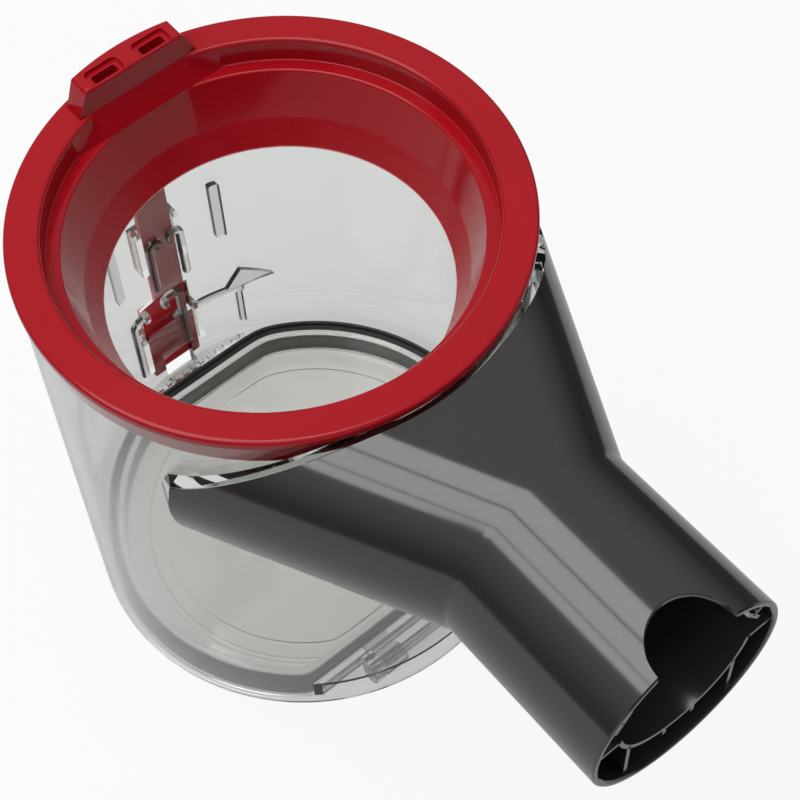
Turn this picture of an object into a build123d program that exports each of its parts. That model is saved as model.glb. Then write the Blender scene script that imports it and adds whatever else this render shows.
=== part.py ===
from build123d import *
import os
from math import radians, sin, sqrt

# Cyclone dust bin. Millimetres, +Z up. The origin is on the bin's axis at its lower edge.
# The inlet points along -Y, and the catch is on the +Y side.

# Clear wall
wall_outer_radius = 53.2
wall_thickness = 2.0
wall_height = 119.5

# Red collar, stepped in from the wall
rim_overhang = 0.8
rim_thickness = 2.2
rim_edge = 0.7
skirt_clearance = 0.2
skirt_wall = 2.2
skirt_reach = 1.6
seat_inset = 4.6
seat_depth = 6.1
seat_edge = 0.8
ledge_width = 3.1
ledge_edge = 0.5
cone_inset = 3.2
cone_drop = 11.6
cone_wall = 1.7

# Flat at the rear of the collar, and the tab that stands on it
flat_inset = 1.2
tab_height = 6.6
tab_half_base = 15.1
tab_half_top = 12.1
tab_setback = 1.7
tab_edge_radius = 0.6
slot_spacing = 12.0
slot_length = 6.0
slot_width = 2.2
slot_depth = 4.6
slot_corner_radius = 0.6
tray_margin = 1.1
tray_depth = 0.9
slot_from_front = 2.4

# Soft wiper lip below the cone
lip_inset = 3.2
lip_drop = 6.8
lip_edge = 0.7

# Inlet funnel and tube
port_reach = 20.7
port_half_spacing = 29.7
port_rim_gap = 0.3
boss_reach = 1.5
boss_wall = 2.0
boss_gap = 0.1
boss_end = 3.3
seam_radius = 58.4
port_window_half_width = 30.0
port_window_half_height = 16.5
waist_reach = 27.6
waist_radius = 23.5
tube_length = 42.0
mouth_radius = 23.8
nozzle_wall = 1.5
mouth_edge_bevel = 0.5
notch_radius = 9.6

# Duct inside the tube, with its webs and ribs
duct_radius = 16.2
duct_wall = 1.0
duct_sink = 0.5
duct_recess = 0.8
duct_open_length = 13.0
web_rise = 2.2
rib_wall = 0.9
rib_half_spacing = 13.6
stub_half_spacing = 3.7
stub_height = 1.6
tee_angle = 33.0
tee_depth = 12.0
tee_half_bar = 3.2

# Base opening, with a straight wall on the hinge side and on the catch side
hinge_pocket = 10.4
catch_pocket = 4.0
chord_wall = 1.2
chord_foot = 3.0
chord_top = 9.4
tooth_pitch = 2.6
tooth_width = 1.3
tooth_height = 0.9
tooth_count = 13

# Base flap and its seal
flap_floor = 0.4
flap_plate = 1.6
flange_wall = 1.2
flap_step = 0.85
rim_top = 9.2
rim_wall = 1.8
seal_gap = 0.35
seal_width = 2.4
seal_top = 9.7
seal_seat_gap = 0.05
seal_lip = 0.8
seal_lip_height = 2.5
seal_relief = 0.8
ring_width = 4.1
panel_inset = 9.0
panel_hinge_inset = 3.2

# Hinge
pin_radius = 1.25
pin_clearance = 0.05
barrel_radius = 2.6
barrel_gap = 0.5
lug_width = 3.0
lug_outer_half = 18.0
lug_gap = 0.35
barrel_width = 6.6

# Catch slider behind the rear wall, and the hook that it releases
slide_travel = 6.0
slide_gap = 0.35
slider_thickness = 1.8
slider_middle_x = -1.7
slider_half_width = 7.3
slider_bottom = 8.6
shoulder_z = 37.0
strip_middle_x = 0.3
strip_half_width = 4.4
strip_top = 112.0
guide_wall = 1.7
guide_lip = 1.5
guide_root = 1.6
low_guide_z = 13.0
low_guide_height = 13.0
high_guide_z = 50.0
high_guide_height = 15.0
window_side_gap = 0.9
window_bottom = 28.5
window_height = 12.5
hook_half_width = 4.0
hook_wall = 1.1
hook_gap = 0.5
hook_top = 7.5
barb_reach = 1.7
barb_bottom = 5.2
barb_height = 1.8
nose_reach = 1.4
nose_height = 4.0

# Ribs moulded on the inside of the rear wall
bead_reach = 1.3
bead_width = 1.9
bead_bend_radius = 1.2
bead_drop = 2.6
low_bead_inset = 3.5
low_bead_outset = 4.0
low_bead_bottom = 18.0
low_crook = 4.5
high_bead_outset = 0.5
high_bead_bottom = 45.0
high_bead_top = 62.0
high_crook = 2.8
rail_x = 14.9
rail_width = 3.4
rail_bottom = 53.0
rail_height = 20.0
ledge_bottom = 29.2
ledge_height = 1.7
ledge_end_x = 18.0
flag_root = 4.0
flag_length = 7.5
flag_height = 6.6
leg_bottom = 15.5
leg_width = 1.3
leg_inset = 1.0

# Worked out from the sizes above
wall_inner_radius = wall_outer_radius - wall_thickness
rim_radius = wall_outer_radius + rim_overhang
collar_top = wall_height + rim_thickness
skirt_radius = wall_inner_radius - skirt_clearance
seat_radius = wall_inner_radius - seat_inset
ledge_z = collar_top - seat_depth
ledge_radius = seat_radius - ledge_width
crease_z = ledge_z - cone_drop
crease_radius = ledge_radius - cone_inset
throat_radius = crease_radius - lip_inset
throat_z = crease_z - lip_drop
flat_front = seat_radius - flat_inset
flat_low = ledge_radius - flat_inset
tab_top = collar_top + tab_height
inlet_z = wall_height - port_rim_gap - waist_radius
port_y = -port_reach
waist_y = -(wall_outer_radius + waist_reach)
mouth_y = waist_y - tube_length
duct_rise = waist_radius - nozzle_wall - duct_radius - duct_wall + duct_sink
hinge_chord = wall_inner_radius - hinge_pocket
catch_chord = wall_inner_radius - catch_pocket
hinge_y = -(hinge_chord + chord_wall + barrel_gap + barrel_radius)
hinge_z = flap_floor + barrel_radius
slider_front = wall_outer_radius + slide_gap
slider_back = slider_front + slider_thickness
nose_bottom = barb_bottom + slide_travel


def block(x, y, z):
    """A box from its limits along each axis."""
    size = (x[1] - x[0], y[1] - y[0], z[1] - z[0])
    middle = ((x[0] + x[1]) / 2, (y[0] + y[1]) / 2, (z[0] + z[1]) / 2)
    return Pos(*middle) * Box(*size)


def drum(radius, bottom, top):
    """A solid cylinder on the bin's axis."""
    return Pos(0, 0, (bottom + top) / 2) * Cylinder(radius, top - bottom)


def turned(points, bevels=()):
    """A ring turned about the bin's axis from (radius, height) points, with some corners bevelled."""
    section = Sketch() + make_face(Polyline(*points, close=True))
    for corner, length in bevels:
        nearest = section.vertices().sort_by_distance(Vector(*corner))[0]
        section = chamfer(nearest, length)
    return revolve(Plane.XZ * section, Axis.Z)


def d_plate(radius, hinge_side, catch_side, bottom, top):
    """A round plate with straight edges on the hinge side and on the catch side."""
    strip = Pos(0, (catch_side - hinge_side) / 2) * Rectangle(3 * radius, catch_side + hinge_side)
    return Pos(0, 0, bottom) * extrude(Circle(radius) & strip, top - bottom)


def across(y, rise=0.0):
    """A plane square to the inlet's axis, with its own Y along +Z."""
    return Plane(origin=(0, y, inlet_z + rise), x_dir=(1, 0, 0), z_dir=(0, -1, 0))


def funnel(inset):
    """From the port, a slot with round ends, to the round waist, moved in by the inset.
    Each half is half of the port carried along a slant, and stops at the middle."""
    radius = waist_radius - inset
    middle = port_half_spacing
    half_port = make_face(
        [
            Line((0, radius), (middle, radius)),
            ThreePointArc((middle, radius), (middle + radius, 0), (middle, -radius)),
            Line((middle, -radius), (0, -radius)),
            Line((0, -radius), (0, radius)),
        ]
    )
    slant = Vector(-middle, waist_y - port_y, 0)
    half = extrude(across(port_y) * half_port, slant.length, dir=slant.normalized())
    half &= block((0, 2 * wall_outer_radius), (waist_y, port_y), (0, 2 * wall_height))
    return half + mirror(half, Plane.YZ)


def seam(gap):
    """The face where the nozzle meets the boss, round with straight ends, as a solid behind it."""
    far = 2 * wall_outer_radius
    middle = seam_radius - wall_outer_radius - boss_reach
    behind = Pos(0, middle, wall_height) * Cylinder(seam_radius + gap, 2 * wall_height)
    return behind + block((-far, far), (port_y - boss_end - gap, 0), (0, 2 * wall_height))


def tube(inset):
    """From the waist to the mouth, moved in by the inset."""
    upright = (Align.CENTER, Align.CENTER, Align.MIN)
    return across(waist_y) * Cone(waist_radius - inset, mouth_radius - inset, tube_length, align=upright)


def on_rear_wall(outline, inner, outer):
    """An outline in X and Z, carried onto a layer of the rear wall between two radii."""
    slab = extrude(Plane.XZ * outline, -2 * outer)
    layer = drum(outer, 0, wall_height) - drum(inner, 0, wall_height)
    return slab & layer


def guide(x, side, bottom, height):
    """An L-shaped guide behind the rear wall: side is +1 where its lip points along +X."""
    near = x - side * slide_gap
    far = near - side * guide_wall
    back = slider_back + slide_gap
    root = sqrt(wall_outer_radius**2 - max(abs(near), abs(far))**2) - wall_thickness / 2
    post = block(sorted((near, far)), (root, back + guide_root), (bottom, bottom + height))
    tip = x + side * guide_lip
    lip = block(sorted((far, tip)), (back, back + guide_root), (bottom, bottom + height))
    return post + lip


def make_collar():
    skirt_inner = skirt_radius - skirt_wall
    under = ledge_z - cone_wall
    rim_corner = (rim_radius, collar_top)
    seat_corner = (seat_radius, collar_top)
    ledge_corner = (ledge_radius, ledge_z)
    ring = turned(
        [
            (rim_radius, wall_height),
            rim_corner,
            seat_corner,
            (seat_radius, ledge_z),
            ledge_corner,
            (crease_radius, crease_z),
            (crease_radius + cone_wall, crease_z),
            (ledge_radius + cone_wall, under),
            (skirt_inner, under),
            (skirt_inner, under - skirt_reach),
            (skirt_radius, under - skirt_reach),
            (skirt_radius, wall_height),
        ],
        [
            (rim_corner, rim_edge),
            (seat_corner, seat_edge),
            (ledge_corner, ledge_edge),
        ],
    )
    # The rear flat is added inside the seat and the cone, no thicker than their own wall
    half_wall = cone_wall / 2
    inside = turned(
        [
            (0, collar_top),
            (seat_radius + half_wall, collar_top),
            (seat_radius + half_wall, ledge_z - half_wall),
            (ledge_radius + half_wall, ledge_z - half_wall),
            (crease_radius + half_wall, crease_z),
            (0, crease_z),
        ]
    )
    flat_face = make_face(
        Polyline(
            (flat_front, collar_top),
            (flat_low, ledge_z),
            (flat_low, crease_z),
            (rim_radius, crease_z),
            (rim_radius, collar_top),
            close=True,
        )
    )
    flat = extrude(Plane.YZ * flat_face, rim_radius, both=True) & inside
    # The tab stands on the flat, with sloping sides and a round back
    tab_face = make_face(
        Polyline(
            (-tab_half_base, wall_height),
            (tab_half_base, wall_height),
            (tab_half_base, collar_top),
            (tab_half_top, tab_top),
            (-tab_half_top, tab_top),
            (-tab_half_base, collar_top),
            close=True,
        )
    )
    tab = extrude(Plane.XZ * tab_face, -rim_radius) & drum(rim_radius - tab_setback, 0, tab_top)
    tab -= block((-rim_radius, rim_radius), (0, flat_front), (0, tab_top))
    tab = fillet(tab.faces().sort_by(Axis.Z)[-1].edges(), tab_edge_radius)
    slot_y = flat_front + slot_from_front
    for x in (-slot_spacing / 2, slot_spacing / 2):
        tray = RectangleRounded(slot_length + 2 * tray_margin, slot_width + 2 * tray_margin, tray_margin)
        tab -= Pos(x, slot_y, tab_top - tray_depth) * extrude(tray, tray_depth)
        slot = RectangleRounded(slot_length, slot_width, slot_corner_radius)
        tab -= Pos(x, slot_y, tab_top - slot_depth) * extrude(slot, slot_depth)
    return ring + flat + tab


def make_wiper_lip():
    return turned(
        [
            (crease_radius, crease_z),
            (throat_radius, throat_z),
            (throat_radius + lip_edge, throat_z),
            (crease_radius + cone_wall, crease_z),
        ]
    )


def make_nozzle():
    outside = funnel(0) + tube(0)
    mouth_edge = outside.edges().group_by(Axis.Y)[0]
    shell = chamfer(mouth_edge, mouth_edge_bevel) - funnel(nozzle_wall) - tube(nozzle_wall)
    shell -= seam(boss_gap)
    front = across(mouth_y + duct_recess)
    length = tube_length - duct_recess
    bore = across(mouth_y, duct_rise) * Circle(duct_radius)
    bore = extrude(bore, -tube_length)
    duct = across(mouth_y + duct_recess, duct_rise) * Circle(duct_radius + duct_wall)
    duct = extrude(duct, -length)
    full_width = (-2 * mouth_radius, 2 * mouth_radius)
    open_top = (mouth_y, mouth_y + duct_open_length)
    duct -= block(full_width, open_top, (inlet_z + web_rise, inlet_z + 2 * mouth_radius))
    # Level webs at the duct's edges, upright ribs under it, stubs, and a tee on each upper side
    web = front * extrude(Pos(0, web_rise - rib_wall / 2) * Rectangle(2 * mouth_radius, rib_wall), -length)
    ribs = web
    duct_bottom = duct_rise - duct_radius - duct_wall
    for side in (-1, 1):
        drop = duct_rise - sqrt(duct_radius**2 - rib_half_spacing**2)
        upright = Rectangle(rib_wall, mouth_radius + drop, align=(Align.CENTER, Align.MAX))
        ribs += front * extrude(Pos(side * rib_half_spacing, drop) * upright, -length)
        stub = Rectangle(rib_wall, stub_height + duct_wall, align=(Align.CENTER, Align.MIN))
        ribs += front * extrude(Pos(side * stub_half_spacing, duct_bottom - stub_height) * stub, -length)
        angle = tee_angle if side > 0 else 180 - tee_angle
        bar_radius = duct_rise * sin(radians(tee_angle)) + duct_radius + rib_wall / 2
        stem = Rectangle(mouth_radius - bar_radius, rib_wall, align=(Align.MIN, Align.CENTER))
        stem = Pos(bar_radius, 0) * stem
        bar = Pos(bar_radius, 0) * Rectangle(rib_wall, 2 * tee_half_bar)
        ribs += front * extrude(Rot(0, 0, angle) * (stem + bar), -tee_depth)
    inner = (duct + (ribs & tube(nozzle_wall / 2))) - bore
    notch = Pos(0, mouth_y, inlet_z + mouth_radius) * Cylinder(notch_radius, 2 * mouth_radius)
    return shell + (inner & tube(nozzle_wall / 2)) - notch


def crook(x, bottom, top, reach):
    """The path of a bead that rises, bends over by the reach, and turns down again."""
    return [(x, bottom), (x, top), (x + reach, top), (x + reach, top - bead_drop)]


def rear_wall_ribs():
    """Hooked beads, two rails, the ledge with its end flag, and the leg below it."""
    left = slider_middle_x - slider_half_width
    right = slider_middle_x + slider_half_width
    strip_left = strip_middle_x - strip_half_width
    strip_right = strip_middle_x + strip_half_width
    low_bead_top = window_bottom + window_height - bead_width
    paths = [
        crook(right - low_bead_inset, low_bead_bottom, low_bead_top, -low_crook),
        crook(left - low_bead_outset, low_bead_bottom, low_bead_top, low_crook),
        crook(strip_right + high_bead_outset, high_bead_bottom, high_bead_top, -high_crook),
        crook(strip_left + high_bead_outset, high_bead_bottom, high_bead_top, high_crook),
    ]
    inner = wall_inner_radius - bead_reach
    outer = wall_inner_radius + wall_thickness / 4
    ribs = Part()
    for path in paths:
        line = FilletPolyline(*path, radius=bead_bend_radius)
        ribs += on_rear_wall(trace(line, bead_width), inner, outer)
    upward = (Align.CENTER, Align.MIN)
    for side in (-1, 1):
        rail = Rectangle(rail_width, rail_height, align=upward)
        ribs += on_rear_wall(Pos(side * rail_x, rail_bottom) * rail, inner, outer)
    ledge = Rectangle(ledge_end_x - right, ledge_height, align=(Align.MIN, Align.MIN))
    ribs += on_rear_wall(Pos(right, ledge_bottom) * ledge, inner, outer)
    ledge_top = ledge_bottom + ledge_height
    flag = make_face(
        Polyline(
            (ledge_end_x - flag_root, ledge_bottom),
            (ledge_end_x + flag_length, ledge_top + flag_height / 3),
            (ledge_end_x, ledge_top + flag_height),
            (ledge_end_x - flag_root, ledge_top),
            close=True,
        )
    )
    ribs += on_rear_wall(flag, inner, outer)
    leg = Rectangle(leg_width, ledge_top - leg_bottom, align=upward)
    return ribs + on_rear_wall(Pos(ledge_end_x - leg_inset, leg_bottom) * leg, inner, outer)


def base_walls():
    """The straight walls round the base opening, each with a roof back to the round wall."""
    seat = drum(wall_inner_radius + wall_thickness / 4, 0, wall_height)
    far = wall_outer_radius
    walls = Part()
    for chord, side in ((hinge_chord, -1), (catch_chord, 1)):
        outer = block((-far, far), sorted((side * chord, side * far)), (chord_foot, chord_top))
        hollow_y = sorted((side * (chord + chord_wall), side * far))
        hollow = block((-far, far), hollow_y, (0, chord_top - chord_wall))
        walls += (outer - hollow) & seat
    for index in range(tooth_count):
        x = (index - (tooth_count - 1) / 2) * tooth_pitch
        tooth_x = (x - tooth_width / 2, x + tooth_width / 2)
        tooth_z = (chord_top - tooth_height / 2, chord_top + tooth_height)
        walls += block(tooth_x, (catch_chord, catch_chord + chord_wall), tooth_z) & seat
    for side in (-1, 1):
        lug_x = sorted((side * (lug_outer_half - lug_width), side * lug_outer_half))
        lug_y = (hinge_y - barrel_radius, hinge_y + barrel_radius)
        lug = block(lug_x, lug_y, (hinge_z, chord_top - chord_wall / 2))
        middle = (lug_x[0] + lug_x[1]) / 2
        lug += Pos(middle, hinge_y, hinge_z) * Rot(0, 90, 0) * Cylinder(barrel_radius, lug_width)
        lug -= Pos(middle, hinge_y, hinge_z) * Rot(0, 90, 0) * Cylinder(pin_radius, lug_width)
        walls += lug
    return walls


def make_body():
    body = drum(wall_outer_radius, 0, wall_height) - drum(wall_inner_radius, 0, wall_height)
    # The boss carries on the funnel's form from the wall to the nozzle's edge, with closed ends
    far = 2 * wall_outer_radius
    ends = block((-far, far), (port_y - boss_wall, 0), (0, wall_height))
    boss = (funnel(0) & seam(0)) - (funnel(boss_wall) - ends)
    boss -= drum(wall_outer_radius - wall_thickness / 2, 0, wall_height)
    body += boss
    window = across(0) * Ellipse(port_window_half_width, port_window_half_height)
    body -= extrude(window, 2 * wall_outer_radius)
    body += base_walls()
    # The window behind which the slider shows, and the slot that the hook snaps into
    left = slider_middle_x - slider_half_width - window_side_gap
    right = slider_middle_x + slider_half_width - window_side_gap
    through = (wall_inner_radius / 2 + catch_chord / 2, 2 * wall_outer_radius)
    body -= block((left, right), through, (window_bottom, window_bottom + window_height))
    slot_half = hook_half_width + slide_gap
    slot_x = (slider_middle_x - slot_half, slider_middle_x + slot_half)
    body -= block(slot_x, through, (barb_bottom - slide_gap, nose_bottom + nose_height + slide_gap))
    body += rear_wall_ribs()
    body += guide(slider_middle_x - slider_half_width, 1, low_guide_z, low_guide_height)
    body += guide(slider_middle_x + slider_half_width, -1, low_guide_z, low_guide_height)
    body += guide(strip_middle_x - strip_half_width, 1, high_guide_z, high_guide_height)
    body += guide(strip_middle_x + strip_half_width, -1, high_guide_z, high_guide_height)
    return body


def make_slider():
    low_x = (slider_middle_x - slider_half_width, slider_middle_x + slider_half_width)
    strip_x = (strip_middle_x - strip_half_width, strip_middle_x + strip_half_width)
    thickness = (slider_front, slider_back)
    slider = block(low_x, thickness, (slider_bottom, shoulder_z))
    slider += block(strip_x, thickness, (shoulder_z, strip_top))
    # A sloping nose reaches through the slot in the wall, and comes down to the hook's barb
    nose_face = make_face(
        Polyline(
            (slider_front, nose_bottom),
            (slider_front, nose_bottom + nose_height),
            (slider_front - nose_reach, nose_bottom + nose_height),
            close=True,
        )
    )
    nose = extrude(Plane.YZ * nose_face, hook_half_width, both=True)
    return slider + Pos(slider_middle_x, 0, 0) * nose


def flap_outline(inset, bottom, top):
    """The flap's D outline, moved in from the seal's outer face."""
    radius = wall_inner_radius - seal_gap - inset
    return d_plate(radius, hinge_chord - seal_gap - inset, catch_chord - seal_gap - inset, bottom, top)


def make_flap():
    rim_inset = seal_width + seal_seat_gap
    inner_inset = rim_inset + rim_wall
    plate_top = flap_floor + flap_plate
    flange_top = flap_floor + flange_wall
    flap = flap_outline(seal_gap, flap_floor, flange_top)
    flap += flap_outline(rim_inset, flap_floor, rim_top) - flap_outline(inner_inset, plate_top, rim_top)
    # Two steps up to the flat panel in the middle
    ring_inset = inner_inset + ring_width
    ring_radius = wall_inner_radius - seal_gap - ring_inset
    hinge_edge = hinge_chord - seal_gap - inner_inset - panel_hinge_inset / 2
    catch_edge = catch_chord - seal_gap - ring_inset
    flap += d_plate(ring_radius, hinge_edge, catch_edge, flap_floor, plate_top + flap_step)
    under = flap_floor + flap_step
    flap -= d_plate(ring_radius - flap_plate, hinge_edge - flap_plate, catch_edge, 0, under)
    panel_radius = wall_inner_radius - seal_gap - inner_inset - panel_inset
    panel_edge = hinge_chord - seal_gap - inner_inset - panel_hinge_inset
    flap += d_plate(panel_radius, panel_edge, panel_radius, plate_top, plate_top + 2 * flap_step)
    # Arms to the hinge barrels
    for side in (-1, 1):
        outer = lug_outer_half - lug_width - lug_gap
        arm_x = sorted((side * (outer - barrel_width), side * outer))
        flap += block(arm_x, (hinge_y, -hinge_chord + rim_inset + rim_wall), (flap_floor, flange_top))
        middle = (arm_x[0] + arm_x[1]) / 2
        flap += Pos(middle, hinge_y, hinge_z) * Rot(0, 90, 0) * Cylinder(barrel_radius, barrel_width)
    pin_hole = Cylinder(pin_radius + pin_clearance, 2 * lug_outer_half)
    flap -= Pos(0, hinge_y, hinge_z) * Rot(0, 90, 0) * pin_hole
    # A tongue under the catch-side wall carries the hook, whose barb snaps into the slot
    hook_x = (slider_middle_x - hook_half_width, slider_middle_x + hook_half_width)
    hook_y = catch_chord + chord_wall + hook_gap
    tongue_y = (catch_chord - seal_gap - seal_width, hook_y + hook_wall)
    flap += block(hook_x, tongue_y, (flap_floor, flange_top))
    flap += block(hook_x, (hook_y, hook_y + hook_wall), (flap_floor, hook_top))
    barb_face = make_face(
        Polyline(
            (hook_y + hook_wall / 2, barb_bottom),
            (hook_y + hook_wall + barb_reach, barb_bottom),
            (hook_y + hook_wall, barb_bottom + barb_height),
            (hook_y + hook_wall / 2, barb_bottom + barb_height),
            close=True,
        )
    )
    barb = extrude(Plane.YZ * barb_face, hook_half_width, both=True)
    return flap + Pos(slider_middle_x, 0, 0) * barb


def make_seal():
    bottom = flap_floor + flange_wall + seal_seat_gap
    lip_bottom = seal_top - seal_lip_height
    band = flap_outline(0, lip_bottom, seal_top) + flap_outline(seal_relief, bottom, lip_bottom)
    band -= flap_outline(seal_width, bottom, seal_top)
    # A groove in the top leaves a thin lip against the wall
    groove = flap_outline(seal_lip, rim_top - seal_lip, seal_top) - flap_outline(seal_width, 0, seal_top)
    return band - groove


def make_pin():
    return Pos(0, hinge_y, hinge_z) * Rot(0, 90, 0) * Cylinder(pin_radius, 2 * lug_outer_half)


parts = {
    "bin_body": make_body(),
    "collar": make_collar(),
    "wiper_lip": make_wiper_lip(),
    "inlet_nozzle": make_nozzle(),
    "base_flap": make_flap(),
    "flap_seal": make_seal(),
    "hinge_pin": make_pin(),
    "catch_slider": make_slider(),
}

os.makedirs("parts", exist_ok=True)
for node, shape in parts.items():
    export_step(shape, f"parts/{node}.step")
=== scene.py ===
import math
import bmesh
import bpy
import numpy as np
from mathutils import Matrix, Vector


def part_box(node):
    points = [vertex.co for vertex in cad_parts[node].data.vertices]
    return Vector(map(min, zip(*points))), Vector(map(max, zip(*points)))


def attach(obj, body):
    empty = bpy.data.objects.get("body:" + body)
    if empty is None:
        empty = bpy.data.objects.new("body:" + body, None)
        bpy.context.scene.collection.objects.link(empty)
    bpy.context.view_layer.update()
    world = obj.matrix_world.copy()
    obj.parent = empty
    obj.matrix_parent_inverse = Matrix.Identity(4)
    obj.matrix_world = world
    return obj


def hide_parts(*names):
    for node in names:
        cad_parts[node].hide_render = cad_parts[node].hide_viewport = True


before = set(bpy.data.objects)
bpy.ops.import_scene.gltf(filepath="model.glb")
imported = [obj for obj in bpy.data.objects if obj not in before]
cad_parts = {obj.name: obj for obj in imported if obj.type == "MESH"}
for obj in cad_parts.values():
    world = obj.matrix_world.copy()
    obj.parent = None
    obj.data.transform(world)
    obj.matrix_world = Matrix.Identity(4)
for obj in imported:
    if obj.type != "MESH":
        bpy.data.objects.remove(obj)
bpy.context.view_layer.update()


# The clear bin body. One injection moulding in clear plastic: a round wall, the boss that meets
# the inlet, straight walls round the base opening, hinge lugs, and the ribs and guides of the
# rear wall. The collar is welded to its top edge, and the inlet nozzle to its boss.
MM = 0.001


def box_mm(node):
    """A node's lowest and highest corners in millimetres."""
    low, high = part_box(node)
    return np.array(low) / MM, np.array(high) / MM


def rounded(corners, steps=5):
    """A closed outline through (a, b, radius) corners. Each arc is centred on its corner's bisector
    and sweeps from the point where it leaves one side to the point where it meets the next."""
    corners = np.array(corners, float)
    points = corners[:, :2]
    radius = np.maximum(corners[:, 2:], 0.03)
    back = np.roll(points, 1, 0) - points
    ahead = np.roll(points, -1, 0) - points
    back /= np.linalg.norm(back, axis=1, keepdims=True)
    ahead /= np.linalg.norm(ahead, axis=1, keepdims=True)
    cosine = (back * ahead).sum(1, keepdims=True)
    reach = radius * np.sqrt((1 + cosine) / (1 - cosine))
    centre = points + (back + ahead) * radius / np.sqrt(1 - cosine**2)
    first = (points + reach * back - centre)[:, None]
    last = (points + reach * ahead - centre)[:, None]
    sweep = (math.pi - np.arccos(cosine))[:, None]
    along = np.linspace(0, 1, steps)[None, :, None]
    arc = (np.sin((1 - along) * sweep) * first + np.sin(along * sweep) * last) / np.sin(sweep)
    return (centre[:, None] + arc).reshape(-1, 2)


def held(outline, hold=0.12):
    """The same closed outline with two more points on each long side, close to its ends, so that
    the side shades flat and only its corners shade round."""
    ends = np.roll(outline, -1, 0)
    length = np.linalg.norm(ends - outline, axis=1)
    long_side = length > 4 * hold
    counts = np.where(long_side, 3, 1)
    starts = np.repeat(np.arange(len(outline)), counts)
    order = np.arange(counts.sum()) - np.repeat(np.cumsum(counts) - counts, counts)
    share = np.choose(order, [0 * length[starts], hold / length[starts], 1 - hold / length[starts]])
    return outline[starts] + share[:, None] * (ends - outline)[starts]


def dense(outline, step):
    """The same closed outline with more points, no further apart than the step."""
    ends = np.roll(outline, -1, 0)
    counts = np.ceil(np.linalg.norm(ends - outline, axis=1) / step).astype(int).clip(1)
    starts = np.repeat(np.arange(len(outline)), counts)
    share = (np.arange(counts.sum()) - np.repeat(np.cumsum(counts) - counts, counts)) / counts[starts]
    return outline[starts] + share[:, None] * (ends - outline)[starts]


sharp_degrees = 32


def skin(name, points, quads, caps=(), sharp=sharp_degrees):
    """A mesh object from points in millimetres, with its faces turned to the outside.
    The sign of the volume under all the faces tells whether they have to be turned."""
    flat = points.reshape(-1, 3)
    corners = flat[quads]
    fans = np.concatenate([corners[:, [0, 1, 2]], corners[:, [0, 2, 3]]])
    for cap in caps:
        rim = flat[cap]
        apex = np.broadcast_to(rim[0], rim[1:-1].shape)
        fans = np.concatenate([fans, np.stack([apex, rim[1:-1], rim[2:]], 1)])
    inside_out = (fans[:, 0] * np.cross(fans[:, 1], fans[:, 2])).sum() < 0
    faces = quads.tolist() + [cap.tolist() for cap in caps]
    if inside_out:
        faces = [face[::-1] for face in faces]
    mesh = bpy.data.meshes.new(name)
    mesh.from_pydata(flat * MM, [], faces)
    mesh.shade_smooth()
    mesh.set_sharp_from_angle(angle=math.radians(sharp))
    made = bpy.data.objects.new(name, mesh)
    bpy.context.scene.collection.objects.link(made)
    return made


def grid_quads(rows, columns, wrap_rows):
    """Corner numbers of the quads of a grid whose columns join up, and whose rows may too."""
    row = np.arange(rows if wrap_rows else rows - 1)[:, None]
    column = np.arange(columns)[None, :]
    row_next = (row + 1) % rows
    column_next = (column + 1) % columns
    numbers = [row * columns + column, row * columns + column_next]
    numbers += [row_next * columns + column_next, row_next * columns + column]
    return np.stack(numbers, -1).reshape(-1, 4)


def ring(name, points):
    """A closed ring from a grid of points that joins up both ways."""
    return skin(name, points, grid_quads(points.shape[0], points.shape[1], True))


def stack(name, loops, sharp=sharp_degrees):
    """A closed body from a pile of outlines, each joined to the next, with a face at both ends."""
    loops = np.asarray(loops)
    rows, columns = loops.shape[:2]
    first = np.arange(columns)
    caps = [first[::-1], first + (rows - 1) * columns]
    return skin(name, loops, grid_quads(rows, columns, False), caps, sharp)


def turned(name, outline, segments):
    """A ring turned about the bin's axis: each (radius, height) point goes once round."""
    angle = np.linspace(0, 2 * math.pi, segments, endpoint=False)[:, None]
    radius, height = outline[:, 0], outline[:, 1] + 0 * angle
    return ring(name, np.stack([radius * np.cos(angle), radius * np.sin(angle), height], -1))


def block(name, x, y, z):
    """A box from its limits along each axis."""
    corners = [(x[0], y[0]), (x[1], y[0]), (x[1], y[1]), (x[0], y[1])]
    return stack(name, [[(a, b, level) for a, b in corners] for level in z])


def settle(piece):
    """Makes the modifiers' result the piece's own mesh."""
    shape = piece.evaluated_get(bpy.context.evaluated_depsgraph_get())
    piece.data = bpy.data.meshes.new_from_object(shape)
    piece.modifiers.clear()


def combine(target, pieces, operation):
    """Joins the pieces to the target, or cuts them out of it, in one pass."""
    group = bpy.data.collections.new("combined")
    for piece in pieces:
        group.objects.link(piece)
    change = target.modifiers.new("combine", "BOOLEAN")
    change.operation = operation
    change.operand_type = "COLLECTION"
    change.collection = group
    change.solver = "EXACT"
    settle(target)
    for piece in pieces:
        bpy.data.objects.remove(piece)
    bpy.data.collections.remove(group)
    target.data.set_sharp_from_angle(angle=math.radians(sharp_degrees))


def soften(piece, width_mm):
    """Rounds every edge that turns by more than 40 degrees."""
    edges = piece.modifiers.new("soft_edges", "BEVEL")
    edges.width = width_mm * MM
    edges.segments = 2
    edges.limit_method = "ANGLE"
    edges.angle_limit = math.radians(40)
    edges.harden_normals = True


def shade_even(piece):
    """Large faces lead the shading of the small ones beside them."""
    even = piece.modifiers.new("even_shading", "WEIGHTED_NORMAL")
    even.keep_sharp = True


def join(target, pieces):
    """Makes the pieces part of the target's mesh, each with its own closed skin."""
    merged = bmesh.new()
    for piece in [target] + pieces:
        merged.from_mesh(piece.data)
    merged.to_mesh(target.data)
    merged.free()
    for piece in pieces:
        bpy.data.objects.remove(piece)


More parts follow.
